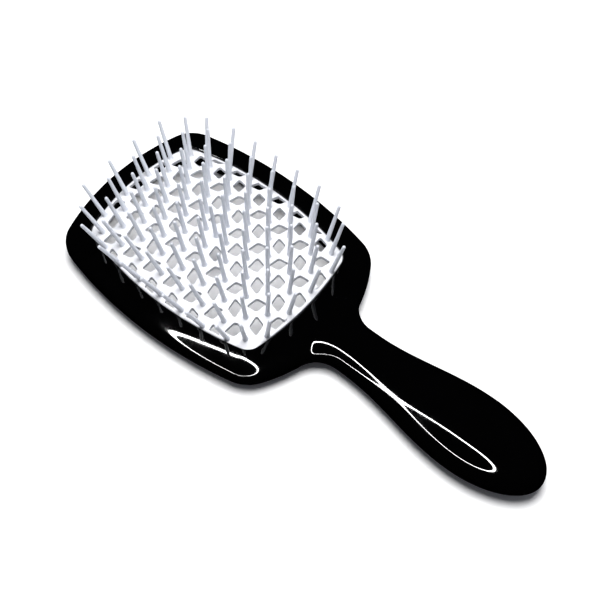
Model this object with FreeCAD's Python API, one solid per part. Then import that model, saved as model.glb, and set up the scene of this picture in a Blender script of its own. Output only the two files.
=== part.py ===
import FreeCAD, Part
import math
import os
from FreeCAD import Vector

# Vented detangling paddle hair brush, millimetres. +Z is the way the pins stand, +Y runs along
# the brush towards the head's tip, +X across. The origin is under the middle of the brush, on
# the surface that it lies on. Head sizes are measured from the pad's middle.

# Overall sizes
HEAD_HALF_WIDTH = 42.9
TIP_REACH = 53.9            # pad's middle to the head's tip
SHOULDER_REACH = 58.5       # pad's middle to the head's end at the handle
NECK_REACH = 69.4           # pad's middle to the narrowest section
HANDLE_LENGTH = 79.0        # narrowest section to the butt
SEAM_HEIGHT = 7.3           # back shell's depth, up to the joint between the shells
FRONT_HEIGHT = 4.8          # front shell's height over that joint, round the head

# Head outline: four arcs with rounded corners
HEAD_SIDE_RADIUS = 175.0
HEAD_TIP_RADIUS = 94.0
HEAD_SHOULDER_RADIUS = 60.0
TIP_CORNER_RADIUS = 13.0
SHOULDER_CORNER_RADIUS = 15.0
NECK_HALF_WIDTH = 9.8
NECK_FILLET = 11.0

# Opening that the pad shows through: the rim's width at the sides and the ends
RIM_SIDE = 9.7
RIM_TIP = 9.5
RIM_SHOULDER = 14.8
OPENING_SIDE_RADIUS = 140.0
OPENING_TIP_RADIUS = 90.0
OPENING_SHOULDER_RADIUS = 110.0
OPENING_CORNER_RADIUS = 6.0

# Shell walls and edges
WALL = 2.2
INNER_WALL = 1.4            # web beside the pad's seat
FRONT_EDGE_FILLET = 4.0
BACK_EDGE_FILLET = 6.0
LIP_FILLET = 0.7
LEDGE_FILLET = 2.6

# Handle
GRIP_HALF_WIDTH = 15.8
GRIP_FRONT = 8.0            # grip's height over the joint
GRIP_BACK = 7.2             # grip's depth under the joint
GRIP_FROM_NECK = 49.0       # narrowest section to the widest
CORNER_SHARE = 0.94         # share of the half width that the grip's rounding takes
GRIP_LAND = 0.6             # upright band beside the joint
FLARE_SECTIONS = 9
BUTT_SECTIONS = 9

# Locating posts and their sockets
HANDLE_POSTS = 3
POST_RADIUS = 1.5
RIM_POST_RADIUS = 1.0
POST_DEPTH = 3.0
POST_CLEARANCE = 0.05
SOCKET_WALL = 1.2
RIB = 1.4

# Pad: a domed vented plate with a flange that the shells clamp
PAD_CLEARANCE = 0.05
FLANGE_OVERLAP = 2.2
FLANGE_THICKNESS = 1.7
LIP_THICKNESS = 1.3
PAD_THICKNESS = 1.8
CROWN_RISE = 9.3            # crown over the joint between the shells
DOME_SIDE = 2.40            # fall to the opening's side, second and fourth order
DOME_SIDE_EDGE = 2.83
DOME_END = 1.78
DOME_END_EDGE = 2.77
PAD_EDGE_GAP = 0.15

# Pins and vents share one diamond lattice, with a pin in the very middle
PIN_COLUMNS = 5             # columns each side of the middle
PIN_ROWS = 8                # rows each side of the middle
PIN_SIDE_MARGIN = 2.7       # outer column to the opening
PIN_END_MARGIN = 2.9
PIN_LENGTH = 17.2
PIN_BASE_RADIUS = 0.9
PIN_TIP_RADIUS = 0.65
PIN_ROOT_GAP = 0.02
PIN_INSET = 1.3             # least distance from a pin's middle to the opening's side
PIN_LEAN = 0.127            # all pins lean towards the tip
FAN_SIDE = 0.152
FAN_SIDE_EDGE = 0.337
FAN_END = 0.062
FAN_END_EDGE = 0.334
VENT_LONG = 3.75            # half of a vent's long diagonal
VENT_SHORT = 2.65
VENT_MARGIN = 0.8           # solid band inside the opening

# Zones of pins that sink together when the crown is pressed, as shares of the crown's travel
ZONES = (
    ("pins_crown", 1.00),
    ("pins_upper", 0.85),
    ("pins_middle", 0.70),
    ("pins_outer", 0.55),
    ("pins_lower", 0.40),
    ("pins_edge", 0.25),
)

# Worked-out places
PAD_Y = (NECK_REACH + HANDLE_LENGTH - TIP_REACH) / 2
NECK_Y = PAD_Y - NECK_REACH
BUTT_Y = NECK_Y - HANDLE_LENGTH
FRONT_Z = SEAM_HEIGHT + FRONT_HEIGHT
FRONT_LAND = FRONT_HEIGHT - FRONT_EDGE_FILLET
BACK_LAND = SEAM_HEIGHT - BACK_EDGE_FILLET
LIP_Z = FRONT_Z - LIP_THICKNESS
FLANGE_TOP = LIP_Z - PAD_CLEARANCE
LEDGE_Z = FLANGE_TOP - FLANGE_THICKNESS
CROWN_Z = SEAM_HEIGHT + CROWN_RISE
OPENING_HALF = HEAD_HALF_WIDTH - RIM_SIDE
OPENING_TIP = TIP_REACH - RIM_TIP
OPENING_SHOULDER = SHOULDER_REACH - RIM_SHOULDER
DOME_LENGTH = (OPENING_TIP + OPENING_SHOULDER) / 2
COLUMN_PITCH = (OPENING_HALF - PIN_SIDE_MARGIN) / PIN_COLUMNS
ROW_PITCH = (min(OPENING_TIP, OPENING_SHOULDER) - PIN_END_MARGIN) / PIN_ROWS
BEYOND = 5.0                # how far cutting solids run past what they cut

HEAD = dict(side=HEAD_HALF_WIDTH, tip=TIP_REACH, shoulder=SHOULDER_REACH, side_radius=HEAD_SIDE_RADIUS,
            tip_radius=HEAD_TIP_RADIUS, shoulder_radius=HEAD_SHOULDER_RADIUS,
            tip_corner=TIP_CORNER_RADIUS, shoulder_corner=SHOULDER_CORNER_RADIUS)
OPENING = dict(side=OPENING_HALF, tip=OPENING_TIP, shoulder=OPENING_SHOULDER,
               side_radius=OPENING_SIDE_RADIUS, tip_radius=OPENING_TIP_RADIUS,
               shoulder_radius=OPENING_SHOULDER_RADIUS, tip_corner=OPENING_CORNER_RADIUS,
               shoulder_corner=OPENING_CORNER_RADIUS)


def plate(outline, grow, z0, z1):
    """An upright plate with a rounded four-arc outline, grown outwards by grow."""
    side, tip, shoulder = (outline[k] + grow for k in ("side", "tip", "shoulder"))
    discs = [(side - outline["side_radius"] - grow, PAD_Y, outline["side_radius"] + grow),
             (outline["side_radius"] + grow - side, PAD_Y, outline["side_radius"] + grow),
             (0, PAD_Y + tip - outline["tip_radius"] - grow, outline["tip_radius"] + grow),
             (0, PAD_Y - shoulder + outline["shoulder_radius"] + grow, outline["shoulder_radius"] + grow)]
    solids = [Part.makeCylinder(r, z1 - z0, Vector(x, y, z0)) for x, y, r in discs]
    body = solids[0].common(solids[1]).common(solids[2]).common(solids[3])
    for end, corner in ((1, "tip_corner"), (-1, "shoulder_corner")):
        edges = [e for e in upright_edges(body) if (e.CenterOfMass.y - PAD_Y) * end > 0]
        body = body.makeFillet(outline[corner] + grow, edges)
    return body


def upright_edges(body):
    """The straight edges of a body that run along Z."""
    return [e for e in body.Edges
            if isinstance(e.Curve, Part.Line) and abs(e.Curve.Direction.z) > 0.99]


def head_and_neck(grow, z0, z1):
    """The head's outline together with the neck, down to the narrowest section."""
    head = plate(HEAD, grow, z0, z1)
    half = NECK_HALF_WIDTH + grow
    root = PAD_Y - SHOULDER_REACH + 2 * NECK_FILLET
    neck = Part.makeBox(2 * half, root - NECK_Y, z1 - z0, Vector(-half, NECK_Y, z0))
    body = head.fuse(neck).removeSplitter()
    inner = [e for e in upright_edges(body) if abs(abs(e.CenterOfMass.x) - half) < 1e-3
             and e.CenterOfMass.y > NECK_Y + 1.0]
    return body.makeFillet(NECK_FILLET - grow, inner)


def round_rim(body, z, radius):
    """Round the outer edges that lie at height z, except the one on the narrowest section."""
    edges = [e for e in body.Edges
             if all(abs(v.Point.z - z) < 1e-6 for v in e.Vertexes)
             and not all(abs(v.Point.y - NECK_Y) < 1e-6 for v in e.Vertexes)]
    return body.makeFillet(radius, edges)


def handle_section(y, half, height, land, corner, way):
    """Half of a handle section: flat at the joint, rounded away from it. way is 1 or -1 in Z."""
    def at(x, z):
        return Vector(x, y, SEAM_HEIGHT + way * z)

    def quarter(side):
        curve = Part.BezierCurve()
        curve.setPoles([at(side * half, land), at(side * half, height), at(side * (half - corner), height)])
        curve.setWeight(2, math.sqrt(0.5))
        return curve.toShape()

    edges = [Part.makeLine(at(-half, 0), at(half, 0)), Part.makeLine(at(half, 0), at(half, land)),
             quarter(1), Part.makeLine(at(half - corner, height), at(corner - half, height)),
             quarter(-1), Part.makeLine(at(-half, land), at(-half, 0))]
    return Part.Wire(Part.__sortEdges__(edges))


def handle_stations():
    """(y, share of the way from neck to grip, share of the full section) along the handle."""
    for i in range(FLARE_SECTIONS):
        along = i / FLARE_SECTIONS
        yield NECK_Y - along * GRIP_FROM_NECK, grown_at(along), 1.0
    for i in range(BUTT_SECTIONS):
        angle = math.pi / 2 * i / BUTT_SECTIONS
        yield NECK_Y - GRIP_FROM_NECK - (HANDLE_LENGTH - GRIP_FROM_NECK) * math.sin(angle), 1.0, math.cos(angle)


def grown_at(along):
    """How far the handle has grown from neck to grip, at a share of the length between them."""
    return (1 - math.cos(math.pi * along)) / 2


def between(neck, grip, grown):
    return neck + (grip - neck) * grown


def handle(neck_height, grip_height, neck_land, neck_corner, way, wall=0.0):
    """A lofted half of the handle, or with a wall, the hollow inside it."""
    sections = []
    for y, grown, full in handle_stations():
        half = between(NECK_HALF_WIDTH, GRIP_HALF_WIDTH, grown) * full - wall
        height = between(neck_height, grip_height, grown) * full - wall
        if wall and min(half, height) < wall:
            break
        land = min(between(neck_land, GRIP_LAND, grown), height / 4)
        corner = min(between(neck_corner, CORNER_SHARE * GRIP_HALF_WIDTH, grown), CORNER_SHARE * half)
        sections.append(handle_section(y, half, height, land, corner, way))
    if not wall:
        sections.append(Part.Vertex(0, BUTT_Y, SEAM_HEIGHT))
    return Part.makeLoft(sections, True, True)


def ring(outline, low_grow, high_grow, z0, z1):
    """An upright wall between two growths of one outline."""
    return plate(outline, high_grow, z0, z1).cut(plate(outline, low_grow, z0 - BEYOND, z1 + BEYOND))


def round_opening(body, z, radius):
    """Round the edge of the opening that lies at height z."""
    mouth = plate(OPENING, 0, z - BEYOND, z + BEYOND)
    edges = [e for e in body.Edges
             if all(abs(v.Point.z - z) < 1e-6 for v in e.Vertexes)
             and Part.Vertex(e.valueAt((e.FirstParameter + e.LastParameter) / 2)).distToShape(
                 Part.Shell(mouth.Faces))[0] < 1e-4]
    return body.makeFillet(radius, edges)


def handle_posts():
    """(y, grown) of each locating post along the handle."""
    for i in range(HANDLE_POSTS):
        along = (i + 1) / HANDLE_POSTS
        yield NECK_Y - along * GRIP_FROM_NECK, grown_at(along)


def rim_posts():
    """(x, y) of the locating posts in the rim's channel: both sides and the tip."""
    web = FLANGE_OVERLAP + PAD_CLEARANCE + INNER_WALL
    side = (OPENING_HALF + web + HEAD_HALF_WIDTH - WALL) / 2
    tip = (OPENING_TIP + web + TIP_REACH - WALL) / 2
    return [(side, PAD_Y), (-side, PAD_Y), (0, PAD_Y + tip)]


def rib_boxes(z0, z1):
    """Ribs across the handle's hollow, half way between the posts."""
    ribs = []
    for i in range(HANDLE_POSTS):
        y = NECK_Y - (i + 0.5) / HANDLE_POSTS * GRIP_FROM_NECK
        ribs.append(Part.makeBox(4 * GRIP_HALF_WIDTH, RIB, z1 - z0,
                                 Vector(-2 * GRIP_HALF_WIDTH, y - RIB / 2, z0)))
    return Part.Compound(ribs)


def hollow(edge_fillet, neck_height, grip_height, neck_land, neck_corner, way):
    """The space inside one shell: a channel round the head, open into the handle."""
    depth = neck_height - WALL
    low, high = sorted((SEAM_HEIGHT, SEAM_HEIGHT + way * depth))
    channel = round_rim(head_and_neck(-WALL, low, high), SEAM_HEIGHT + way * depth, edge_fillet - WALL)
    web = FLANGE_OVERLAP + PAD_CLEARANCE + INNER_WALL
    channel = channel.cut(plate(OPENING, web, low - BEYOND, high + BEYOND))
    inside = handle(neck_height, grip_height, neck_land, neck_corner, way, WALL)
    return channel.fuse(inside)


def front_shell():
    """Front half of the rim and handle, with the lip that holds the pad down."""
    head = round_rim(head_and_neck(0, SEAM_HEIGHT, FRONT_Z), FRONT_Z, FRONT_EDGE_FILLET)
    body = head.fuse(handle(FRONT_HEIGHT, GRIP_FRONT, FRONT_LAND, FRONT_EDGE_FILLET, 1))
    space = hollow(FRONT_EDGE_FILLET, FRONT_HEIGHT, GRIP_FRONT, FRONT_LAND, FRONT_EDGE_FILLET, 1)
    body = body.cut(space.cut(rib_boxes(SEAM_HEIGHT + POST_CLEARANCE, FRONT_Z + GRIP_FRONT)))
    body = body.cut(plate(OPENING, FLANGE_OVERLAP + PAD_CLEARANCE, SEAM_HEIGHT - BEYOND, LIP_Z))
    body = body.cut(plate(OPENING, 0, SEAM_HEIGHT, FRONT_Z + BEYOND)).removeSplitter()
    body = round_opening(body, FRONT_Z, LIP_FILLET)
    foot = SEAM_HEIGHT - POST_DEPTH
    posts = []
    for y, grown in handle_posts():
        top = SEAM_HEIGHT + between(FRONT_HEIGHT, GRIP_FRONT, grown) - WALL / 2
        posts.append(Part.makeCylinder(POST_RADIUS, top - foot, Vector(0, y, foot)))
    for x, y in rim_posts():
        posts.append(Part.makeCylinder(RIM_POST_RADIUS, FRONT_Z - WALL / 2 - foot, Vector(x, y, foot)))
    return body.fuse(posts).removeSplitter()


def back_shell():
    """Back half of the rim and handle, with the ledge that the pad's flange sits on."""
    head = round_rim(head_and_neck(0, 0, SEAM_HEIGHT), 0, BACK_EDGE_FILLET)
    body = head.fuse(handle(SEAM_HEIGHT, GRIP_BACK, BACK_LAND, BACK_EDGE_FILLET, -1))
    space = hollow(BACK_EDGE_FILLET, SEAM_HEIGHT, GRIP_BACK, BACK_LAND, BACK_EDGE_FILLET, -1)
    body = body.cut(space.cut(rib_boxes(-BEYOND, SEAM_HEIGHT - POST_CLEARANCE)))
    body = body.fuse(ring(OPENING, 0, FLANGE_OVERLAP, WALL, LEDGE_Z))
    body = body.cut(plate(OPENING, 0, -BEYOND, LEDGE_Z + BEYOND)).removeSplitter()
    body = round_opening(body, 0, LEDGE_FILLET)
    bore_end = SEAM_HEIGHT - POST_DEPTH - POST_CLEARANCE
    places = [(0, y, SEAM_HEIGHT - between(SEAM_HEIGHT, GRIP_BACK, grown) + WALL / 2, POST_RADIUS)
              for y, grown in handle_posts()]
    places += [(x, y, bore_end - SOCKET_WALL, RIM_POST_RADIUS) for x, y in rim_posts()]
    for x, y, bottom, radius in places:
        bore = radius + POST_CLEARANCE
        body = body.fuse(Part.makeCylinder(bore + SOCKET_WALL, SEAM_HEIGHT - bottom, Vector(x, y, bottom)))
        body = body.cut(Part.makeCylinder(bore, SEAM_HEIGHT + BEYOND - bore_end, Vector(x, y, bore_end)))
    return body.removeSplitter()


def dome_height(x, y):
    """Height of the pad's top at a place measured from the pad's middle."""
    across, along = x / OPENING_HALF, y / DOME_LENGTH
    return (CROWN_Z - DOME_SIDE * across ** 2 - DOME_SIDE_EDGE * across ** 4
            - DOME_END * along ** 2 - DOME_END_EDGE * along ** 4)


def dome_slab(lift=0.0):
    """The whole dome as a slab of the pad's thickness, a little wider than the opening."""
    steps = 10
    half_x, half_y = OPENING_HALF + 1.0, DOME_LENGTH + 2.0
    grid = [[Vector(x, PAD_Y + y, dome_height(x, y) + lift)
             for y in (half_y * (2 * j / steps - 1) for j in range(steps + 1))]
            for x in (half_x * (2 * i / steps - 1) for i in range(steps + 1))]
    surface = Part.BSplineSurface()
    surface.interpolate(grid)
    return surface.toShape().extrude(Vector(0, 0, -PAD_THICKNESS))


def has_pin(column, row):
    """Every other lattice place holds a pin, and so does the middle one. The rest are vents."""
    return (column + row) % 2 == 1 or column == row == 0


def lattice(pinned):
    """(column, row, x, y) of the lattice places that hold a pin, or of the vents between them."""
    for row in range(-PIN_ROWS, PIN_ROWS + 1):
        for column in range(-PIN_COLUMNS, PIN_COLUMNS + 1):
            inside = abs(column) + abs(row) < PIN_COLUMNS + PIN_ROWS - 1
            if inside and has_pin(column, row) == pinned:
                yield column, row, column * COLUMN_PITCH, row * ROW_PITCH


def vent(column, row, x, y):
    """One vent: a kite whose long corners meet its neighbours' short ones, mirrored about x = 0."""
    step = math.hypot(COLUMN_PITCH, ROW_PITCH)
    corners = []
    for side, end in ((1, 1), (-1, 1), (-1, -1), (1, -1)):
        mirrored = side * (math.copysign(1, column) if column else side)
        reach = VENT_LONG if (mirrored * end > 0) == (row % 2 == 0) else VENT_SHORT
        corners.append(Vector(x + side * reach * COLUMN_PITCH / step,
                              PAD_Y + y + end * reach * ROW_PITCH / step, 0))
    face = Part.Face(Part.makePolygon(corners + corners[:1]))
    return face.extrude(Vector(0, 0, CROWN_Z + BEYOND))


def bristle_pad():
    """The flexible pad: dome, flange and vents."""
    low, high = SEAM_HEIGHT - BEYOND, CROWN_Z + BEYOND
    dome = dome_slab().common(plate(OPENING, -PAD_EDGE_GAP, low, high))
    flange = ring(OPENING, -VENT_MARGIN, FLANGE_OVERLAP, LEDGE_Z, FLANGE_TOP)
    vents = Part.Compound([vent(*place) for place in lattice(False)])
    vents = vents.common(plate(OPENING, -VENT_MARGIN, low, high))
    return dome.cut(vents).fuse(flange).removeSplitter()


def pin_shape():
    """One pin, upright, standing on z = 0 with a root below it and a domed tip."""
    root = PAD_THICKNESS * 0.6
    shoulder = PIN_LENGTH - PIN_TIP_RADIUS
    bottom, foot = Vector(0, 0, -root), Vector(PIN_BASE_RADIUS, 0, -root)
    neck, top = Vector(PIN_TIP_RADIUS, 0, shoulder), Vector(0, 0, PIN_LENGTH)
    bend = Vector(PIN_TIP_RADIUS * math.sqrt(0.5), 0, shoulder + PIN_TIP_RADIUS * math.sqrt(0.5))
    wire = Part.Wire([Part.makeLine(bottom, foot), Part.makeLine(foot, neck),
                      Part.Arc(neck, bend, top).toShape(), Part.makeLine(top, bottom)])
    return Part.Face(wire).revolve(Vector(0, 0, 0), Vector(0, 0, 1), 360)


def side_limit(y):
    """How far the opening's side is from the middle line, at a place along the pad."""
    return OPENING_HALF - OPENING_SIDE_RADIUS + math.sqrt(OPENING_SIDE_RADIUS ** 2 - y ** 2)


def pins():
    """The pins, sorted into their zones: {zone: [solids]}."""
    pin, slab = pin_shape(), dome_slab(PIN_ROOT_GAP)
    zones = {name: [] for name, _ in ZONES}
    for column, row, x, y in lattice(True):
        x = math.copysign(min(abs(x), side_limit(y) - PIN_INSET), x)
        across, along = x / OPENING_HALF, y / DOME_LENGTH
        way = Vector(FAN_SIDE * across + FAN_SIDE_EDGE * across ** 3,
                     PIN_LEAN + FAN_END * along + FAN_END_EDGE * along ** 3, 1)
        z = dome_height(x, y)
        one = pin.copy()
        one.Placement = FreeCAD.Placement(Vector(x, PAD_Y + y, z), FreeCAD.Rotation(Vector(0, 0, 1), way))
        share = (z - FLANGE_TOP) / (CROWN_Z - FLANGE_TOP)
        zone = min(ZONES, key=lambda named: abs(named[1] - share))[0]
        zones[zone].append(one.cut(slab))
    return zones


def main():
    os.makedirs("parts", exist_ok=True)
    nodes = {"front_shell": front_shell(), "back_shell": back_shell(), "bristle_pad": bristle_pad()}
    nodes.update((name, Part.Compound(solids)) for name, solids in pins().items())
    for name, shape in nodes.items():
        shape.exportStep("parts/" + name + ".step")
        box = shape.BoundBox
        print(f"{name}: {len(shape.Solids)} solids, {shape.Volume:.0f} mm3, valid {shape.isValid()}, "
              f"z {box.ZMin:.2f} to {box.ZMax:.2f}, y {box.YMin:.2f} to {box.YMax:.2f}")


main()
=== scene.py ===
"""Vented paddle hair brush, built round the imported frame.

Two gloss black shells make a rim and a drop-shaped handle. A domed white pad fills the rim. It has
rounded diamond vents, and slim pins that lean towards the tip and fan outwards. Lengths are metres.
"""

import enum
import logging
import math
from collections.abc import Callable, Iterator
from dataclasses import dataclass, field, replace

import bmesh
import bpy
from mathutils import Matrix, Vector
from mathutils.geometry import intersect_sphere_sphere_2d


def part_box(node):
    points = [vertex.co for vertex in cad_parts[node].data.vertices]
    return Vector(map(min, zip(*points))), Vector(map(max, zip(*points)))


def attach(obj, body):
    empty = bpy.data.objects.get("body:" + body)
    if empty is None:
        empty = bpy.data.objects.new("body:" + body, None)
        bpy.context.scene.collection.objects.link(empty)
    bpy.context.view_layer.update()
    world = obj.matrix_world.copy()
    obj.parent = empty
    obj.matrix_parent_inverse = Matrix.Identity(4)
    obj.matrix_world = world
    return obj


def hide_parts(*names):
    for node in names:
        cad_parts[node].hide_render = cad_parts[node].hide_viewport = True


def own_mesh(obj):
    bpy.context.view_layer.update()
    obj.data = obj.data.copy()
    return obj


MM = 0.001
SEAM_Z = 7.3 * MM          # where the two shells meet
FLANGE_TOP = 10.75 * MM    # the top of the pad's flange
WELD = 0.002 * MM          # points closer than this become one
TINY = 1e-9                # a length or an area that counts as nothing
log = logging.getLogger("brush")


# Outlines

@dataclass(frozen=True)
class Arc:
    """A round stretch of an outline, from one angle to another about its middle."""

    middle: Vector
    radius: float
    start: float
    end: float

    def at(self, share: float) -> Vector:
        """The point at a share of the way along the arc."""
        return self.middle + self.radius * self.normal(share)

    def normal(self, share: float) -> Vector:
        """The unit direction from the middle to that point."""
        angle = self.start + (self.end - self.start) * share
        return Vector((math.cos(angle), math.sin(angle)))


@dataclass(frozen=True)
class PlateOutline:
    """A four-arc outline with rounded corners, measured from the pad's middle."""

    side: float
    tip: float
    shoulder: float
    side_radius: float
    tip_radius: float
    shoulder_radius: float
    tip_corner: float
    shoulder_corner: float

    def grown(self, by: float) -> "PlateOutline":
        """The same outline, moved outwards.

        Args:
            by: How far every point moves, in metres.

        Returns:
            The new outline.
        """
        return PlateOutline(*(getattr(self, name) + by for name in self.__dataclass_fields__))

    def arcs(self) -> list[Arc]:
        """The right half as five arcs, from the tip to the shoulder."""
        side = Vector((self.side - self.side_radius, 0.0))
        tip = Vector((0.0, self.tip - self.tip_radius))
        shoulder = Vector((0.0, self.shoulder_radius - self.shoulder))
        corners = []
        for end, radius, corner in ((tip, self.tip_radius, self.tip_corner),
                                    (shoulder, self.shoulder_radius, self.shoulder_corner)):
            meetings = intersect_sphere_sphere_2d(side, self.side_radius - corner, end, radius - corner)
            corners.append(max(meetings, key=lambda point: point.x))
        up, down = corners
        a, b = heading(tip, up), heading(side, up)
        c, d = heading(side, down), heading(shoulder, down)
        return [Arc(tip, self.tip_radius, math.pi / 2, a), Arc(up, self.tip_corner, a, b),
                Arc(side, self.side_radius, b, c), Arc(down, self.shoulder_corner, c, d),
                Arc(shoulder, self.shoulder_radius, d, -math.pi / 2)]

    def inside(self, point: Vector) -> Vector:
        """The point itself, or where it lies outside, the nearest point of the outline."""
        near = Vector((abs(point.x), point.y))
        for arc in self.arcs():
            way = near - arc.middle
            angle = math.atan2(way.y, way.x)
            if arc.start >= angle >= arc.end and way.length > arc.radius:
                near = arc.middle + way.normalized() * arc.radius
                break
        return Vector((math.copysign(near.x, point.x), near.y))


def heading(start: Vector, end: Vector) -> float:
    """The angle of the line from one point to another."""
    return math.atan2(end.y - start.y, end.x - start.x)


HEAD = PlateOutline(side=42.9 * MM, tip=53.9 * MM, shoulder=58.5 * MM, side_radius=175 * MM,
                    tip_radius=94 * MM, shoulder_radius=60 * MM, tip_corner=13 * MM,
                    shoulder_corner=15 * MM)
OPENING = PlateOutline(side=33.2 * MM, tip=44.4 * MM, shoulder=43.7 * MM, side_radius=140 * MM,
                       tip_radius=90 * MM, shoulder_radius=110 * MM, tip_corner=6 * MM,
                       shoulder_corner=6 * MM)


@dataclass(frozen=True)
class Rib:
    """One line across a shell, from its outer edge to the opening or to the handle's middle."""

    outer: Vector
    inner: Vector
    grown: float    # how far along the flare it is, from 0 at the neck to 1 at the grip
    rim: float      # how much of the rim's shape it has, from 0 on the handle to 1 on the head

    def mirrored(self) -> "Rib":
        """The same rib on the brush's other side."""
        flip = Vector((-1.0, 1.0))
        return replace(self, outer=self.outer * flip, inner=self.inner * flip)


@dataclass(frozen=True)
class BrushLine:
    """The whole brush in plan: head, neck, flare and rounded butt, as ribs round its edge."""

    neck_half: float = 9.8 * MM
    neck_fillet: float = 11.0 * MM
    neck_reach: float = 69.4 * MM
    grip_half: float = 15.8 * MM
    grip_from_neck: float = 49.0 * MM
    butt_reach: float = 148.4 * MM
    corner_rim: float = 0.5
    head_steps: tuple[int, ...] = (16, 18, 36, 18)
    shoulder_steps: int = 12
    fillet_steps: int = 18
    slit_from: int = 6
    neck_steps: int = 3
    flare_steps: int = 44
    butt_steps: int = 36

    def ribs(self, growth: float) -> list[Rib]:
        """Every rib round the brush, in order, starting at the tip and going by the right side.

        Args:
            growth: How far outside the opening the head's ribs end.

        Returns:
            The ribs, of which the first and the one at the butt lie on the middle line.
        """
        right = [*self.head_ribs(growth), *self.neck_ribs(growth), *self.handle_ribs()]
        return right + [rib.mirrored() for rib in right[-2:0:-1]]

    def head_ribs(self, growth: float) -> Iterator[Rib]:
        """The ribs that cross the rim, from the tip to the end of the shoulder's corner."""
        pairs = list(zip(HEAD.arcs(), OPENING.grown(growth).arcs()))[:-1]
        for (outer, inner), steps in zip(pairs, self.head_steps):
            for step in range(steps):
                share = step / steps
                rim = 1.0 if inner is not pairs[-1][1] else 1.0 - self.corner_rim * share
                yield Rib(outer.at(share), inner.at(share), 0.0, rim)

    def neck_ribs(self, growth: float) -> Iterator[Rib]:
        """The ribs of the shoulder, the fillet and the short straight neck."""
        shoulder, opening = HEAD.arcs()[-1], OPENING.grown(growth).arcs()[-1]
        reach = HEAD.shoulder_radius + self.neck_fillet
        across = self.neck_half + self.neck_fillet
        middle = Vector((across, shoulder.middle.y - math.sqrt(reach ** 2 - across ** 2)))
        turned = heading(shoulder.middle, middle)
        outer = Arc(shoulder.middle, shoulder.radius, shoulder.start, turned)
        fillet = Arc(middle, self.neck_fillet, turned + math.pi, math.pi)
        opening_steps = self.shoulder_steps + self.slit_from
        for step in range(self.shoulder_steps + self.fillet_steps):
            along = step / opening_steps
            if step < self.shoulder_steps:
                foot = outer.at(step / self.shoulder_steps)
            else:
                foot = fillet.at((step - self.shoulder_steps) / self.fillet_steps)
            rim = self.corner_rim * max(0.0, 1.0 - along) ** 2
            if step <= opening_steps:
                yield Rib(foot, opening.at(along), 0.0, rim)
            else:
                down = (step - opening_steps) / (self.fillet_steps - self.slit_from)
                start = opening.at(1.0).y
                yield Rib(foot, Vector((0.0, start + (middle.y - start) * down)), 0.0, 0.0)
        for step in range(self.neck_steps):
            y = middle.y + (-self.neck_reach - middle.y) * step / self.neck_steps
            yield Rib(Vector((self.neck_half, y)), Vector((0.0, y)), 0.0, 0.0)

    def handle_ribs(self) -> Iterator[Rib]:
        """The ribs of the flare, and those that meet in the middle of the rounded butt."""
        for step in range(self.flare_steps):
            along = step / self.flare_steps
            grown = (1.0 - math.cos(math.pi * along)) / 2.0
            y = -self.neck_reach - self.grip_from_neck * along
            half = self.neck_half + (self.grip_half - self.neck_half) * grown
            yield Rib(Vector((half, y)), Vector((0.0, y)), grown, 0.0)
        start = -self.neck_reach - self.grip_from_neck
        length = self.butt_reach + start
        for step in range(self.butt_steps + 1):
            angle = math.pi / 2 * step / self.butt_steps
            foot = Vector((self.grip_half * math.cos(angle), start + length * -math.sin(angle)))
            yield Rib(foot, Vector((0.0, start)), 1.0, 0.0)


# Finishes

def linear(colour: str) -> tuple[float, float, float, float]:
    """A linear colour from an sRGB hex value such as '#1a1a1a'."""
    channels = [int(colour[i:i + 2], 16) / 255 for i in (1, 3, 5)]
    turned = [c / 12.92 if c <= 0.04045 else ((c + 0.055) / 1.055) ** 2.4 for c in channels]
    return (*turned, 1.0)


def add_node(tree: bpy.types.NodeTree, kind: str, inputs: dict | None = None,
             **settings) -> bpy.types.Node:
    """Add a node with its settings, input values and links.

    Args:
        tree: The node tree that gets the node.
        kind: The node's type name.
        inputs: Values or output sockets by the name or number of the input.
        **settings: Attributes of the node itself.

    Returns:
        The node.
    """
    node = tree.nodes.new(kind)
    for name, value in settings.items():
        setattr(node, name, value)
    for name, value in (inputs or {}).items():
        if isinstance(value, bpy.types.NodeSocket):
            tree.links.new(value, node.inputs[name])
        else:
            node.inputs[name].default_value = value
    return node


def new_material(name: str) -> tuple[bpy.types.Material, bpy.types.NodeTree, bpy.types.Node]:
    """A material with an empty Principled shader: (material, its tree, the shader)."""
    material = bpy.data.materials.new(name)
    material.use_nodes = True
    tree = material.node_tree
    tree.nodes.clear()
    shader = add_node(tree, "ShaderNodeBsdfPrincipled")
    add_node(tree, "ShaderNodeOutputMaterial", {"Surface": shader.outputs["BSDF"]})
    return material, tree, shader


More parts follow.
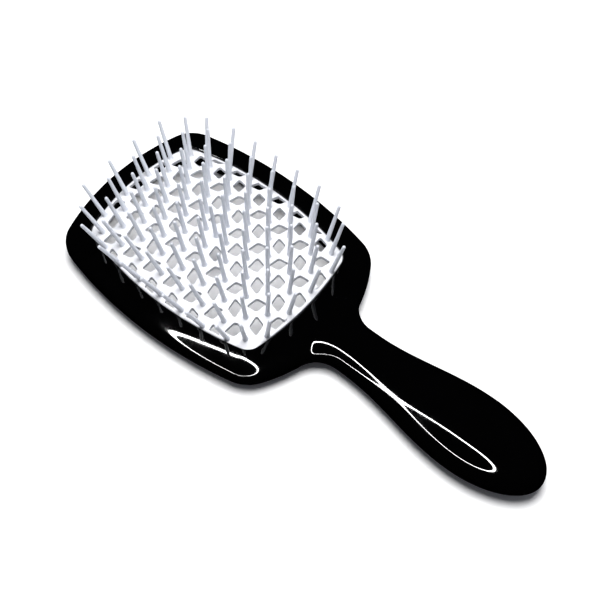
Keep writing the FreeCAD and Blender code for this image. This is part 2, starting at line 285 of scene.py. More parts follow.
@dataclass(frozen=True)
class GlossAbs:
    """Injection-moulded ABS from a polished tool.

    The polish gives sharp reflections. The melt's shrinkage leaves a very shallow waviness, and
    handling leaves faint smears that change the roughness and, by a hair, the colour.
    """

    colour: str = "#020202"
    smear_colour: str = "#040405"
    ior: float = 1.52
    roughness: float = 0.035
    smear_roughness: float = 0.11
    ripple_size: float = 9 * MM
    ripple_height: float = 0.004 * MM
    smear_size: float = 14 * MM
    smear_from: float = 0.45
    smear_to: float = 0.75

    def build(self) -> bpy.types.Material:
        """Make the material."""
        material, tree, shader = new_material("gloss_black_abs")
        place = add_node(tree, "ShaderNodeTexCoord").outputs["Object"]
        smear = add_node(tree, "ShaderNodeTexNoise", {
            "Vector": place, "Scale": 1 / self.smear_size, "Detail": 5.0, "Roughness": 0.62})
        amount = add_node(tree, "ShaderNodeMapRange", {
            "Value": smear.outputs["Fac"], "From Min": self.smear_from, "From Max": self.smear_to,
            "To Min": self.roughness, "To Max": self.smear_roughness})
        tone = add_node(tree, "ShaderNodeMix", {
            "Factor": smear.outputs["Fac"], "A": linear(self.colour),
            "B": linear(self.smear_colour)}, data_type="RGBA")
        ripple = add_node(tree, "ShaderNodeTexNoise", {
            "Vector": place, "Scale": 1 / self.ripple_size, "Detail": 1.0})
        bump = add_node(tree, "ShaderNodeBump", {
            "Height": ripple.outputs["Fac"], "Distance": self.ripple_height, "Strength": 1.0})
        tree.links.new(tone.outputs[2], shader.inputs["Base Color"])
        tree.links.new(amount.outputs["Result"], shader.inputs["Roughness"])
        tree.links.new(bump.outputs["Normal"], shader.inputs["Normal"])
        shader.inputs["IOR"].default_value = self.ior
        return material


@dataclass(frozen=True)
class FlexibleNylon:
    """Flexible white nylon, moulded in a finely blasted tool.

    The blasting gives a satin skin with a fine grain, drawn coarser here than the real 0.05 mm so
    that it shows. The material lets a little light in, so thin edges and pins look soft.
    """

    name: str
    colour: str
    tint: str
    roughness: float = 0.42
    smoother: float = 0.05
    rougher: float = 0.08
    grain_size: float = 0.35 * MM
    grain_height: float = 0.006 * MM
    grain_strength: float = 0.6
    cloud_size: float = 11 * MM
    depth: float = 0.8 * MM
    softness: float = 0.12
    ior: float = 1.53

    def build(self) -> bpy.types.Material:
        """Make the material."""
        material, tree, shader = new_material(self.name)
        place = add_node(tree, "ShaderNodeTexCoord").outputs["Object"]
        cloud = add_node(tree, "ShaderNodeTexNoise", {
            "Vector": place, "Scale": 1 / self.cloud_size, "Detail": 3.0})
        tone = add_node(tree, "ShaderNodeMix", {
            "Factor": cloud.outputs["Fac"], "A": linear(self.colour),
            "B": linear(self.tint)}, data_type="RGBA")
        grain = add_node(tree, "ShaderNodeTexNoise", {
            "Vector": place, "Scale": 1 / self.grain_size, "Detail": 2.0})
        bump = add_node(tree, "ShaderNodeBump", {
            "Height": grain.outputs["Fac"], "Distance": self.grain_height,
            "Strength": self.grain_strength})
        satin = add_node(tree, "ShaderNodeMapRange", {
            "Value": grain.outputs["Fac"], "To Min": self.roughness - self.smoother,
            "To Max": self.roughness + self.rougher})
        tree.links.new(tone.outputs[2], shader.inputs["Base Color"])
        tree.links.new(satin.outputs["Result"], shader.inputs["Roughness"])
        tree.links.new(bump.outputs["Normal"], shader.inputs["Normal"])
        shader.inputs["IOR"].default_value = self.ior
        shader.inputs["Subsurface Weight"].default_value = self.softness
        shader.inputs["Subsurface Radius"].default_value = (1.0, 1.0, 1.0)
        shader.inputs["Subsurface Scale"].default_value = self.depth
        return material


@dataclass(frozen=True)
class WhiteCard:
    """Matt white card, whose short fibres break up the light so that it looks plain."""

    colour: str = "#ffffff"
    roughness: float = 0.9
    sheen: float = 0.1
    fibres_per_metre: float = 900.0
    fibre_height: float = 0.01 * MM

    def build(self) -> bpy.types.Material:
        """Make the material."""
        material, tree, shader = new_material("white_card")
        place = add_node(tree, "ShaderNodeTexCoord").outputs["Object"]
        fibre = add_node(tree, "ShaderNodeTexNoise", {
            "Vector": place, "Scale": self.fibres_per_metre, "Detail": 2.0})
        bump = add_node(tree, "ShaderNodeBump", {
            "Height": fibre.outputs["Fac"], "Distance": self.fibre_height})
        tree.links.new(bump.outputs["Normal"], shader.inputs["Normal"])
        shader.inputs["Base Color"].default_value = linear(self.colour)
        shader.inputs["Roughness"].default_value = self.roughness
        shader.inputs["Specular IOR Level"].default_value = self.sheen
        return material


@dataclass(frozen=True)
class LampTube:
    """A lamp's lit tube, which the gloss shows as a bright line."""

    strength: float = 60.0

    def build(self) -> bpy.types.Material:
        """Make the material."""
        material = bpy.data.materials.new("ring_lamp_tube")
        material.use_nodes = True
        tree = material.node_tree
        tree.nodes.clear()
        glow = add_node(tree, "ShaderNodeEmission", {"Strength": self.strength})
        add_node(tree, "ShaderNodeOutputMaterial", {"Surface": glow.outputs["Emission"]})
        return material


# Meshes

def finish_piece(bm: bmesh.types.BMesh, name: str, material: bpy.types.Material) -> bpy.types.Object:
    """Turn a bmesh into a smooth-shaded object with its material."""
    mesh = bpy.data.meshes.new(name)
    bm.to_mesh(mesh)
    bm.free()
    mesh.shade_smooth()
    mesh.materials.append(material)
    piece = bpy.data.objects.new(name, mesh)
    bpy.context.scene.collection.objects.link(piece)
    return piece


def only(kind: type, geometry: list) -> list:
    """The members of one bmesh type in what an operator returns."""
    return [item for item in geometry if isinstance(item, kind)]


RibPlace = Callable[[int], tuple[Vector, float]]    # a rib's number to its point and height


class Half(enum.Enum):
    """Which shell, as the way it goes from the seam."""

    FRONT = 1
    BACK = -1


@dataclass(frozen=True)
class Shell:
    """One moulded shell: its rounded outside, the opening's wall and the face at the seam."""

    half: Half
    name: str
    head_height: float
    grip_height: float
    rim_ratio: float
    handle_ratio: float
    head_land: float
    grip_land: float
    mouth_fillet: float
    wall_end: float
    pocket: float
    line: BrushLine = field(default_factory=BrushLine)
    seam_chamfer: float = 0.14 * MM
    round_rings: int = 15
    flat_rings: int = 4
    fillet_rings: int = 4

    def build(self, pad_y: float, material: bpy.types.Material) -> bpy.types.Object:
        """Build the shell.

        Args:
            pad_y: Where the pad's middle is along the brush.
            material: The shell's finish.

        Returns:
            The shell, riding on the frame.
        """
        bm = bmesh.new()
        number = bm.verts.layers.int.new("rib")
        pocket, mouth = self.line.ribs(self.pocket), self.line.ribs(self.mouth_fillet)
        loop = bmesh.ops.create_circle(bm, segments=len(mouth), radius=1.0)["verts"]
        for i, vert in enumerate(loop):
            vert[number] = i
        self.place(loop, number, lambda i: (pocket[i].inner, 0.0))
        edges = list(bm.edges)
        for ring in self.outside_rings(mouth):
            edges = self.next_ring(bm, edges, number, ring)
        bmesh.ops.remove_doubles(bm, verts=bm.verts, dist=WELD)
        edges = self.open_edges(bm, lambda rise: rise > self.head_height / 2)
        for ring in self.mouth_rings():
            edges = self.next_ring(bm, edges, number, ring)
        pocket_edges = self.open_edges(bm, lambda rise: abs(rise) < WELD)
        bmesh.ops.bridge_loops(bm, edges=edges + pocket_edges)
        bmesh.ops.translate(bm, verts=bm.verts, vec=(0.0, pad_y, SEAM_Z))
        bmesh.ops.recalc_face_normals(bm, faces=bm.faces)
        piece = finish_piece(bm, self.name, material)
        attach(piece, "frame")
        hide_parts(self.name.removesuffix("_moulding"))
        return piece

    def open_edges(self, bm: bmesh.types.BMesh, wanted: Callable[[float], bool]) -> list:
        """The mesh's open edges, of which both ends have a wanted height from the seam."""
        return [edge for edge in bm.edges if edge.is_boundary
                and all(wanted(vert.co.z * self.half.value) for vert in edge.verts)]

    def place(self, verts: list, number: bmesh.types.BMLayerItem, where: RibPlace) -> None:
        """Move each vertex to its own rib's place: a point in plan and a height from the seam."""
        for vert in verts:
            point, height = where(vert[number])
            vert.co = (point.x, point.y, height * self.half.value)

    def next_ring(self, bm: bmesh.types.BMesh, edges: list, number: bmesh.types.BMLayerItem,
                  where: RibPlace) -> list:
        """Extrude a ring of edges and put the new ring in its place.

        Args:
            bm: The mesh.
            edges: The ring's edges.
            number: The layer that says which rib a vertex belongs to.
            where: The place for each rib.

        Returns:
            The new ring's edges.
        """
        made = bmesh.ops.extrude_edge_only(bm, edges=edges)["geom"]
        self.place(only(bmesh.types.BMVert, made), number, where)
        return only(bmesh.types.BMEdge, made)

    def height(self, rib: Rib) -> float:
        """The shell's height from the seam at a rib's inner end."""
        return self.head_height + (self.grip_height - self.head_height) * rib.grown

    def across(self, rib: Rib, share: float, flat: float) -> tuple[Vector, float]:
        """A point of the outside along a rib.

        Args:
            rib: The rib.
            share: How far round the rounded edge, from 0 at the seam to 1.
            flat: How far over the flat stretch that may follow it, from 0 to 1.

        Returns:
            The point in plan, and its height from the seam.
        """
        way = rib.inner - rib.outer
        ratio = self.handle_ratio + (self.rim_ratio - self.handle_ratio) * rib.rim
        corner = ratio * way.length
        turn = math.acos(max(0.0, 1.0 - way.length / corner))
        land = self.head_land + (self.grip_land - self.head_land) * rib.grown
        along = corner * (1.0 - math.cos(turn * share))
        along += max(0.0, way.length - corner) * flat
        height = land + (self.height(rib) - land) * math.sin(turn * share) / math.sin(turn)
        return rib.outer + way.normalized() * along, height

    def outside_rings(self, ribs: list[Rib]) -> Iterator[RibPlace]:
        """The rings from the seam's edge, round the outside, to the opening and the middle line."""
        def seam(i: int) -> tuple[Vector, float]:
            """A rib's place on the seam, drawn in by the chamfer."""
            way = (ribs[i].inner - ribs[i].outer).normalized()
            return ribs[i].outer + way * self.seam_chamfer, 0.0

        yield seam
        yield lambda i: (ribs[i].outer, self.seam_chamfer)
        for ring in range(self.round_rings + 1):
            yield lambda i, share=ring / self.round_rings: self.across(ribs[i], share, 0.0)
        if self.rim_ratio < 1.0 or self.handle_ratio < 1.0:
            for ring in range(1, self.flat_rings + 1):
                yield lambda i, flat=ring / self.flat_rings: self.across(ribs[i], 1.0, flat)

    def mouth_rings(self) -> Iterator[RibPlace]:
        """The rings over the opening's rounded edge, down its wall and back under to the pocket."""
        for ring in range(1, self.fillet_rings + 1):
            angle = math.pi / 2 * ring / self.fillet_rings
            growth = self.mouth_fillet * (1.0 - math.sin(angle))
            fall = self.mouth_fillet * (1.0 - math.cos(angle))
            ribs = self.line.ribs(growth)
            yield lambda i, ribs=ribs, fall=fall: (ribs[i].inner, self.head_height - fall)
        wall, pocket = self.line.ribs(0.0), self.line.ribs(self.pocket)
        yield lambda i: (wall[i].inner, self.wall_end)
        yield lambda i: (pocket[i].inner, self.wall_end)


FRONT_SHELL = Shell(half=Half.FRONT, name="front_shell_moulding", head_height=4.8 * MM,
                    grip_height=8.0 * MM, rim_ratio=3.5, handle_ratio=0.85, head_land=0.8 * MM,
                    grip_land=0.6 * MM, mouth_fillet=0.7 * MM, wall_end=3.5 * MM, pocket=2.25 * MM)
BACK_SHELL = Shell(half=Half.BACK, name="back_shell_moulding", head_height=SEAM_Z,
                   grip_height=7.2 * MM, rim_ratio=0.9, handle_ratio=1.0, head_land=0.9 * MM,
                   grip_land=0.6 * MM, mouth_fillet=2.6 * MM, wall_end=-1.75 * MM, pocket=2.2 * MM)


@dataclass(frozen=True)
class Dome:
    """The pad's domed top, measured from the pad's middle."""

    crown_z: float = 16.6 * MM
    half: float = OPENING.side
    length: float = 44.05 * MM
    side: float = 2.40 * MM
    side_edge: float = 2.83 * MM
    end: float = 1.78 * MM
    end_edge: float = 2.77 * MM
    brim_z: float = 10.82 * MM
    brim_blend: float = 0.9 * MM

    def height(self, point: Vector) -> float:
        """The dome's height, before the brim."""
        across, along = point.x / self.half, point.y / self.length
        return (self.crown_z - self.side * across ** 2 - self.side_edge * across ** 4
                - self.end * along ** 2 - self.end_edge * along ** 4)

    def top(self, point: Vector) -> float:
        """The pad's top: the dome, running smoothly into a flat brim at the corners."""
        dome, blend = self.height(point), self.brim_blend
        near = max(0.0, 1.0 - abs(dome - self.brim_z) / blend)
        return max(dome, self.brim_z) + near ** 2 * blend / 4


@dataclass(frozen=True)
class Lattice:
    """The diamond lattice that the pins and the vents share."""

    column_pitch: float = 6.1 * MM
    row_pitch: float = 5.1 * MM
    columns: int = 5
    rows: int = 8

    def holds(self, column: int, row: int) -> bool:
        """Whether the pins and vents reach this place."""
        return (abs(column) <= self.columns and abs(row) <= self.rows
                and abs(column) + abs(row) < self.columns + self.rows - 1)

    def has_pin(self, column: int, row: int) -> bool:
        """Whether a pin stands here: on every other place, and in the very middle."""
        return self.holds(column, row) and ((column + row) % 2 == 1 or column == row == 0)

    def has_vent(self, column: int, row: int) -> bool:
        """Whether a vent is cut here."""
        return self.holds(column, row) and not self.has_pin(column, row)

    def at(self, column: float, row: float) -> Vector:
        """The place in plan, measured from the pad's middle."""
        return Vector((column * self.column_pitch, row * self.row_pitch))


@dataclass(frozen=True)
class BristlePad:
    """The flexible pad: a domed plate with rounded vents, and the flange that the shells clamp."""

    lattice: Lattice = field(default_factory=Lattice)
    dome: Dome = field(default_factory=Dome)
    thickness: float = 1.8 * MM
    vent_long: float = 4.10 * MM
    vent_short: float = 2.95 * MM
    corner_cut: float = 1.05 * MM
    corner_steps: int = 4
    margin: float = 0.9 * MM
    least_inside: float = 0.8 * MM
    extra_cells: int = 3
    cell_weld: float = 0.004 * MM
    sliver: float = 0.01 * MM
    edge_gap: float = 0.12 * MM
    edge_round: float = 0.18 * MM
    round_steps: int = 3
    sunk: float = 2.0 * MM
    fixed_z: float = FLANGE_TOP
    flange_low: float = 9.05 * MM
    flange_in: float = 0.2 * MM
    flange_out: float = 2.15 * MM
    flange_steps: tuple[int, ...] = (12, 8, 24, 8, 12)
    sharp_angle: float = math.radians(60)

    @property
    def cell_steps(self) -> int:
        """How many edges each side of a cell has, to match the vent's corner and half sides."""
        return self.corner_steps + 2

    def build(self, pad_y: float, material: bpy.types.Material) -> list[bpy.types.Object]:
        """Build the dome and its flange.

        Args:
            pad_y: Where the pad's middle is along the brush.
            material: The pad's finish.

        Returns:
            The dome and the flange, both riding on the frame.
        """
        dome = self.build_dome(pad_y, material)
        flange = self.build_flange(pad_y, material)
        for piece in (dome, flange):
            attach(piece, "frame")
        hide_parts("bristle_pad")
        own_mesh(dome)
        return [dome, flange]

    def build_dome(self, pad_y: float, material: bpy.types.Material) -> bpy.types.Object:
        """Build the domed plate: a sheet of cells, the same sheet below it, and walls between."""
        bm = bmesh.new()
        number = bm.verts.layers.int.new("vent")
        vents = 0
        for row in self.spread(self.lattice.rows):
            for column in self.spread(self.lattice.columns):
                if self.lattice.has_vent(column, row) and self.reaches(self.lattice.at(column, row)):
                    vents += 1
                    self.add_vented_cell(bm, number, vents, column, row)
                elif (column + row) % 2 == 0:
                    self.add_solid_cell(bm, column, row)
        bmesh.ops.remove_doubles(bm, verts=bm.verts, dist=self.cell_weld)
        self.trim(bm, number)
        rims = [edge for edge in bm.edges if edge.is_boundary]
        under = bmesh.ops.duplicate(bm, geom=[*bm.verts, *bm.edges, *bm.faces])["geom"]
        bmesh.ops.translate(bm, verts=only(bmesh.types.BMVert, under), vec=(0.0, 0.0, -self.thickness))
        self.add_walls(bm, number, rims)
        bmesh.ops.remove_doubles(bm, verts=bm.verts, dist=WELD)
        for vert in bm.verts:
            vert.co.z += self.dome.top(vert.co.xy)
        bmesh.ops.translate(bm, verts=bm.verts, vec=(0.0, pad_y, 0.0))
        bmesh.ops.recalc_face_normals(bm, faces=bm.faces)
        return finish_piece(bm, "pad_dome", material)

    def spread(self, count: int) -> range:
        """Cell numbers across the lattice and some way past both its ends, for trim to draw in."""
        return range(-count - self.extra_cells, count + self.extra_cells + 1)

    def reaches(self, middle: Vector) -> bool:
        """Whether enough of the vent round this place lies inside the solid margin."""
        return (OPENING.grown(-self.margin).inside(middle) - middle).length < self.least_inside

    def kite(self, column: int, row: int) -> list[Vector]:
        """A vent's outline: a rounded kite whose long corners meet its neighbours' short ones.

        Args:
            column: The vent's column, counted from the middle.
            row: The vent's row, counted from the middle.

        Returns:
            Its points in order, starting in the middle of the side that faces the next column.
        """
        middle, step = self.lattice.at(column, row), self.lattice.at(1, 1)
        corners = []
        for side, end in ((1, 1), (-1, 1), (-1, -1), (1, -1)):
            mirrored = side * (math.copysign(1, column) if column else side)
            reach = self.vent_long if (mirrored * end > 0) == (row % 2 == 0) else self.vent_short
            corners.append(middle + Vector((side * step.x, end * step.y)) * (reach / step.length))
        bm = bmesh.new()
        rim = polygon(bm, corners, 2)
        start = heading(middle, rim[-1].co) - 1e-6    # a hair back, so that rounding can't reorder
        bmesh.ops.bevel(bm, geom=rim[::2], offset=self.corner_cut, offset_type="OFFSET", affect="VERTICES",
                        segments=self.corner_steps, profile=0.5, material=-1)
        points = [vert.co.xy for vert in bm.verts]
        points.sort(key=lambda point: (heading(middle, point) - start) % (2 * math.pi))
        bm.free()
        return points

    def add_vented_cell(self, bm: bmesh.types.BMesh, number: bmesh.types.BMLayerItem, vent: int,
                        column: int, row: int) -> None:
        """Add a lattice diamond, drawn in to the vent's outline with its middle left open.

        Args:
            bm: The mesh.
            number: The layer that says which vent a vertex is on, and 0 off the vents.
            vent: The vent's number.
            column: The cell's column, counted from the middle.
            row: The cell's row, counted from the middle.
        """
        diamond = [self.lattice.at(column + x, row + y) for x, y in ((1, 0), (0, 1), (-1, 0), (0, -1))]
        outer = polygon(bm, diamond, self.cell_steps)
        for i, vert in enumerate(outer):
            vert[number] = i
        points = self.kite(column, row)
        made = bmesh.ops.extrude_edge_only(bm, edges=list(edges_of(outer)))["geom"]
        for vert in only(bmesh.types.BMVert, made):
            vert.co.xy = points[vert[number]]
            vert[number] = vent
        for vert in outer:
            vert[number] = 0

    def add_solid_cell(self, bm: bmesh.types.BMesh, column: int, row: int) -> None:
        """Add a lattice diamond filled with a grid."""
        middle, step = self.lattice.at(column, row), self.lattice.at(1, 1)
        skew = Matrix(((step.x / 2, -step.x / 2, 0, middle.x), (step.y / 2, step.y / 2, 0, middle.y),
                       (0, 0, 1, 0), (0, 0, 0, 1)))
        bmesh.ops.create_grid(bm, x_segments=self.cell_steps, y_segments=self.cell_steps, size=1.0,
                              matrix=skew)

    def trim(self, bm: bmesh.types.BMesh, number: bmesh.types.BMLayerItem) -> None:
        """Pull what runs past the pad's edge back to it, and remove what then has no area.

        A vent's rim is pulled back further than the cell round it, which leaves the solid margin.
        """
        edge = OPENING.grown(-self.edge_gap)
        limits = {True: edge.grown(-self.margin), False: edge}
        outside = set()
        for vert in bm.verts:
            kept = limits[vert[number] > 0].inside(vert.co.xy)
            if (kept - vert.co.xy).length > TINY:
                vert.co.xy = kept
                outside.add(vert)
        gone = [face for face in bm.faces if outside.issuperset(face.verts) and face.calc_area() < TINY]
        bmesh.ops.delete(bm, geom=gone, context="FACES")
        bmesh.ops.dissolve_degenerate(bm, dist=self.sliver, edges=bm.edges)
        loose = [edge for edge in bm.edges if not edge.link_faces]
        bmesh.ops.delete(bm, geom=loose, context="EDGES")

    def add_walls(self, bm: bmesh.types.BMesh, number: bmesh.types.BMLayerItem, edges: list) -> None:
        """Carry the sheet's rims down to the sheet below it, rounded at both ends.

        A vent's rim draws in towards its own middle, and the plate's edge goes straight down.
        """
        rims = {}
        for vert in {vert for edge in edges for vert in edge.verts}:
            rims.setdefault(vert[number], []).append(vert.co.xy)
        middles = {vent: sum(points, Vector((0.0, 0.0))) / len(points) for vent, points in rims.items()}
        turns = [math.pi / 2 * step / self.round_steps for step in range(1, self.round_steps + 1)]
        down = [(self.edge_round * math.sin(t), self.edge_round * (1 - math.cos(t))) for t in turns]
        up = [(inwards, self.thickness - drop) for inwards, drop in reversed([(0.0, 0.0), *down])]
        last = 0.0
        for inwards, drop in down + up:
            made = bmesh.ops.extrude_edge_only(bm, edges=edges)["geom"]
            edges = only(bmesh.types.BMEdge, made)
            for vert in only(bmesh.types.BMVert, made):
                way = middles[vert[number]] - vert.co.xy
                if vert[number]:
                    vert.co.xy += way.normalized() * (inwards - last)
                vert.co.z = -drop
            last = inwards

    def build_flange(self, pad_y: float, material: bpy.types.Material) -> bpy.types.Object:
        """Build the flat flange that the shells clamp round the dome."""
        bm = bmesh.new()
        low, high = self.flange_low, self.fixed_z
        inner, outer = OPENING.grown(-self.flange_in), OPENING.grown(self.flange_out)
        number = bm.verts.layers.int.new("place")
        loop = bmesh.ops.create_circle(bm, segments=2 * sum(self.flange_steps), radius=1.0)["verts"]
        for i, vert in enumerate(loop):
            vert[number] = i
        edges = first = list(bm.edges)
        for turn, (outline, z) in enumerate(((inner, high), (outer, high), (outer, low), (inner, low))):
            if turn:
                made = bmesh.ops.extrude_edge_only(bm, edges=edges)["geom"]
                edges, loop = only(bmesh.types.BMEdge, made), only(bmesh.types.BMVert, made)
            points = outline_points(outline, self.flange_steps)
            for vert in loop:
                point = points[vert[number]]
                vert.co = (point.x, point.y + pad_y, z)
        bmesh.ops.bridge_loops(bm, edges=edges + first)
        bmesh.ops.recalc_face_normals(bm, faces=bm.faces)
        sharp = [edge for edge in bm.edges if edge.calc_face_angle() > self.sharp_angle]
        bmesh.ops.bevel(bm, geom=sharp, offset=self.edge_round, affect="EDGES", segments=2, profile=0.5,
                        material=-1)
        return finish_piece(bm, "pad_flange", material)


def polygon(bm: bmesh.types.BMesh, corners: list[Vector], steps: int) -> list:
    """Add a closed loop of edges round some corners.

    Args:
        bm: The mesh.
        corners: The corners in plan, in order.
        steps: How many edges each side has.

    Returns:
        The loop's vertices, of which the first and every steps-th after it are the corners.
    """
    verts = bmesh.ops.create_circle(bm, segments=steps * len(corners), radius=1.0)["verts"]
    for i, vert in enumerate(verts):
        start, end = corners[i // steps], corners[(i // steps + 1) % len(corners)]
        vert.co.xy = start.lerp(end, i % steps / steps)
    return verts


def edges_of(verts: list) -> set:
    """Every edge at any of these vertices."""
    return {edge for vert in verts for edge in vert.link_edges}


def outline_points(outline: PlateOutline, steps: tuple[int, ...]) -> list[Vector]:
    """Points all round an outline, starting at the tip, with so many steps on each arc."""
    right = [arc.at(step / count) for arc, count in zip(outline.arcs(), steps) for step in range(count)]
    right.append(outline.arcs()[-1].at(1.0))
    return right + [Vector((-p.x, p.y)) for p in right[-2:0:-1]]


@dataclass(frozen=True)
class Pins:
    """The pins: slim tapered rods with a flared root and a domed tip."""

    lattice: Lattice = field(default_factory=Lattice)
    dome: Dome = field(default_factory=Dome)
    length: float = 17.2 * MM
    root_radius: float = 0.9 * MM
    tip_radius: float = 0.66 * MM
    flare: float = 0.35 * MM
    sunk_root: float = 0.5 * MM
    sides: int = 12
    tip_steps: int = 3
    inset: float = 1.3 * MM
    lean: float = 0.127
    fan_side: float = 0.152
    fan_side_edge: float = 0.337
    fan_end: float = 0.062
    fan_end_edge: float = 0.334
    flange_top: float = FLANGE_TOP
    zones: tuple[tuple[str, float], ...] = (("crown", 1.00), ("upper", 0.85), ("middle", 0.70),
                                            ("outer", 0.55), ("lower", 0.40), ("edge", 0.25))

    def build(self, pad_y: float, material: bpy.types.Material) -> list[bpy.types.Object]:
        """Build one piece for each zone of pins.

        Args:
            pad_y: Where the pad's middle is along the brush.
            material: The pins' finish.

        Returns:
            The pieces, each riding on its own zone.
        """
        one = self.pin_mesh()
        meshes = {zone: bmesh.new() for zone, _ in self.zones}
        for column in range(-self.lattice.columns, self.lattice.columns + 1):
            for row in range(-self.lattice.rows, self.lattice.rows + 1):
                if self.lattice.has_pin(column, row):
                    foot = self.foot(column, row)
                    bm = meshes[self.zone(foot)]
                    start = len(bm.verts)
                    bm.from_mesh(one)
                    bm.verts.ensure_lookup_table()
                    bmesh.ops.transform(bm, matrix=self.stance(foot, pad_y), verts=bm.verts[start:])
        pieces = []
        for zone, bm in meshes.items():
            piece = finish_piece(bm, f"{zone}_pin_rods", material)
            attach(piece, f"{zone}_pins")
            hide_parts(f"pins_{zone}")
            pieces.append(piece)
        bpy.data.meshes.remove(one)
        return pieces

    def foot(self, column: int, row: int) -> Vector:
        """Where a pin stands in plan. The side's curve pushes the corner rows' outer pins in."""
        place = self.lattice.at(column, row)
        side = OPENING.side - OPENING.side_radius + math.sqrt(OPENING.side_radius ** 2 - place.y ** 2)
        place.x = math.copysign(min(abs(place.x), side - self.inset), place.x)
        return place

    def zone(self, foot: Vector) -> str:
        """The zone whose share of the crown's travel is nearest to this pin's."""
        share = (self.dome.height(foot) - self.flange_top) / (self.dome.crown_z - self.flange_top)
        return min(self.zones, key=lambda zone: abs(zone[1] - share))[0]

    def stance(self, foot: Vector, pad_y: float) -> Matrix:
        """The matrix that stands an upright pin in its place with its lean."""
        across, along = foot.x / self.dome.half, foot.y / self.dome.length
        way = Vector((self.fan_side * across + self.fan_side_edge * across ** 3,
                      self.lean + self.fan_end * along + self.fan_end_edge * along ** 3, 1.0))
        turn = Vector((0.0, 0.0, 1.0)).rotation_difference(way).to_matrix().to_4x4()
        return Matrix.Translation((foot.x, foot.y + pad_y, self.dome.height(foot))) @ turn

    def pin_mesh(self) -> bpy.types.Mesh:
        """One upright pin, spun from its profile."""
        bm = bmesh.new()
        top = self.length - self.tip_radius
        wide, bend = self.root_radius + self.flare, 0.3 * self.flare
        profile = [(0.0, -self.sunk_root), (wide, -self.sunk_root), (wide, -bend),
                   (self.root_radius + bend, bend), (self.root_radius, 1.4 * self.flare),
                   (self.tip_radius, top)]
        profile += [(self.tip_radius * math.cos(turn), top + self.tip_radius * math.sin(turn))
                    for turn in (math.pi / 2 * step / self.tip_steps for step in range(1, self.tip_steps))]
        profile.append((0.0, self.length))
        verts = [bm.verts.new((x, 0.0, z)) for x, z in profile]
        for pair in zip(verts, verts[1:]):
            bm.edges.new(pair)
        bmesh.ops.spin(bm, geom=list(bm.verts) + list(bm.edges), cent=(0, 0, 0), axis=(0, 0, 1),
                       angle=2 * math.pi, steps=self.sides, use_merge=True)
        bmesh.ops.remove_doubles(bm, verts=bm.verts, dist=WELD)
        bmesh.ops.recalc_face_normals(bm, faces=bm.faces)
        mesh = bpy.data.meshes.new("pin")
        bm.to_mesh(mesh)
        bm.free()
        return mesh


# Studio

@dataclass(frozen=True)
class Softbox:
    """A round area light that is aimed at a point and doesn't show in the gloss."""

    name: str
    place: tuple[float, float, float]
    size: float
    power: float

    def build(self, aim: Vector) -> bpy.types.Object:
        """Place the light and aim it."""
        data = bpy.data.lights.new(self.name, "AREA")
        data.shape = "DISK"
        data.size = self.size
        data.energy = self.power
        light = bpy.data.objects.new(self.name, data)
        bpy.context.scene.collection.objects.link(light)
        light.location = self.place
        light.rotation_euler = (aim - light.location).to_track_quat("-Z", "Y").to_euler()
        light.visible_glossy = False
        return light


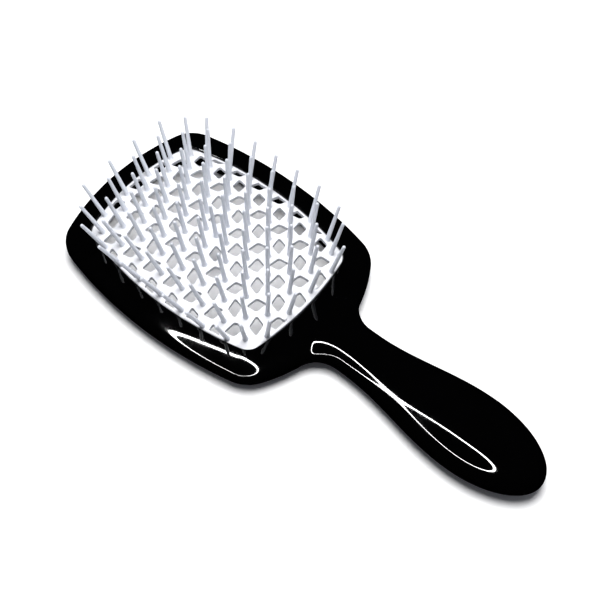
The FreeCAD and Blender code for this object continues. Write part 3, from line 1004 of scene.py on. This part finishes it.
@dataclass(frozen=True)
class Studio:
    """A white table, soft light from above and all round, a ring lamp, and the camera."""

    floor_half: float = 6.0
    lamp_middle: tuple[float, float, float] = (-0.230, 0.000, 0.500)
    lamp_radius: float = 0.210
    lamp_width: float = 0.016
    lamp_sides: int = 96
    camera_place: tuple[float, float, float] = (-0.18314, -0.13585, 0.38493)
    camera_turn: tuple[float, float, float] = (31.983, -1.296, -50.098)
    camera_lens: float = 72.0
    sky: float = 0.16
    sky_colour: str = "#f2f5ff"
    softbox: Softbox = Softbox("overhead_softbox", (0.05, 0.05, 0.70), 0.5, 6.6)

    def build(self) -> None:
        """Build the whole studio."""
        self.build_floor()
        self.build_lamp()
        self.build_sky()
        self.build_camera()
        self.softbox.build(Vector((0.0, 0.0, 0.0)))

    def build_floor(self) -> None:
        """A plain white table top at the height that the brush lies on."""
        bm = bmesh.new()
        bmesh.ops.create_grid(bm, x_segments=1, y_segments=1, size=self.floor_half)
        floor = finish_piece(bm, "table", WhiteCard().build())
        floor.visible_glossy = False

    def build_lamp(self) -> None:
        """A thin ring lamp overhead, whose reflection draws the bright loops in the gloss."""
        bm = bmesh.new()
        bmesh.ops.create_circle(bm, segments=self.lamp_sides, radius=self.lamp_radius)
        made = bmesh.ops.extrude_edge_only(bm, edges=list(bm.edges))["geom"]
        outer = only(bmesh.types.BMVert, made)
        share = 1 + self.lamp_width / self.lamp_radius
        bmesh.ops.scale(bm, vec=(share, share, 1), verts=outer)
        bmesh.ops.translate(bm, vec=self.lamp_middle, verts=bm.verts)
        lamp = finish_piece(bm, "ring_lamp", LampTube().build())
        lamp.visible_camera = False
        lamp.visible_diffuse = False

    def build_sky(self) -> None:
        """Even, slightly cool light from all round, which the gloss doesn't show."""
        world = bpy.data.worlds.new("studio")
        bpy.context.scene.world = world
        world.use_nodes = True
        tree = world.node_tree
        tree.nodes.clear()
        path = add_node(tree, "ShaderNodeLightPath")
        dim = add_node(tree, "ShaderNodeMapRange", {
            "Value": path.outputs["Is Glossy Ray"], "To Min": self.sky, "To Max": 0.0})
        glow = add_node(tree, "ShaderNodeBackground", {
            "Color": linear(self.sky_colour), "Strength": dim.outputs["Result"]})
        add_node(tree, "ShaderNodeOutputWorld", {"Surface": glow.outputs["Background"]})

    def build_camera(self) -> None:
        """The camera, near and above the brush's left side, looking down across it."""
        data = bpy.data.cameras.new("camera")
        data.lens = self.camera_lens
        camera = bpy.data.objects.new("camera", data)
        bpy.context.scene.collection.objects.link(camera)
        camera.location = self.camera_place
        camera.rotation_euler = tuple(math.radians(angle) for angle in self.camera_turn)
        bpy.context.scene.camera = camera
        bpy.context.scene.view_settings.view_transform = "Standard"
        bpy.context.scene.view_settings.look = "Medium High Contrast"


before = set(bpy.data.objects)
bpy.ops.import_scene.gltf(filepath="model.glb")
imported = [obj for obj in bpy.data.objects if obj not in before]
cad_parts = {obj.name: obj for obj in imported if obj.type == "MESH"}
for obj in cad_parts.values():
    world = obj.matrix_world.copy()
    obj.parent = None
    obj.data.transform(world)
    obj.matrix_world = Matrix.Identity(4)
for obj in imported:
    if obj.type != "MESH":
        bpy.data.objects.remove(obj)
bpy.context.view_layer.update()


def main() -> None:
    """Build the brush and its studio, piece by piece."""
    logging.basicConfig(level=logging.INFO, format="%(name)s: %(message)s")
    _, front_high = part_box("front_shell")
    pad_y = front_high.y - HEAD.tip
    log.info("pad's middle at y = %.2f mm", pad_y / MM)
    shell_finish = GlossAbs().build()
    pad_finish = FlexibleNylon("white_flexible_nylon", "#e9eaed", "#e3e4e9").build()
    # The pins get a darker, bluer copy of the pad's own nylon: painted shade for the grey of their shaded
    # sides.
    pin_finish_painted_shade = FlexibleNylon("white_nylon_pins_painted_shade", "#d6d9df", "#cdd0d8", roughness=0.36).build()
    for shell in (FRONT_SHELL, BACK_SHELL):
        piece = shell.build(pad_y, shell_finish)
        log.info("%s: %d faces", piece.name, len(piece.data.polygons))
    for piece in BristlePad().build(pad_y, pad_finish) + Pins().build(pad_y, pin_finish_painted_shade):
        log.info("%s: %d faces", piece.name, len(piece.data.polygons))
    Studio().build()


if __name__ == "__main__":
    main()
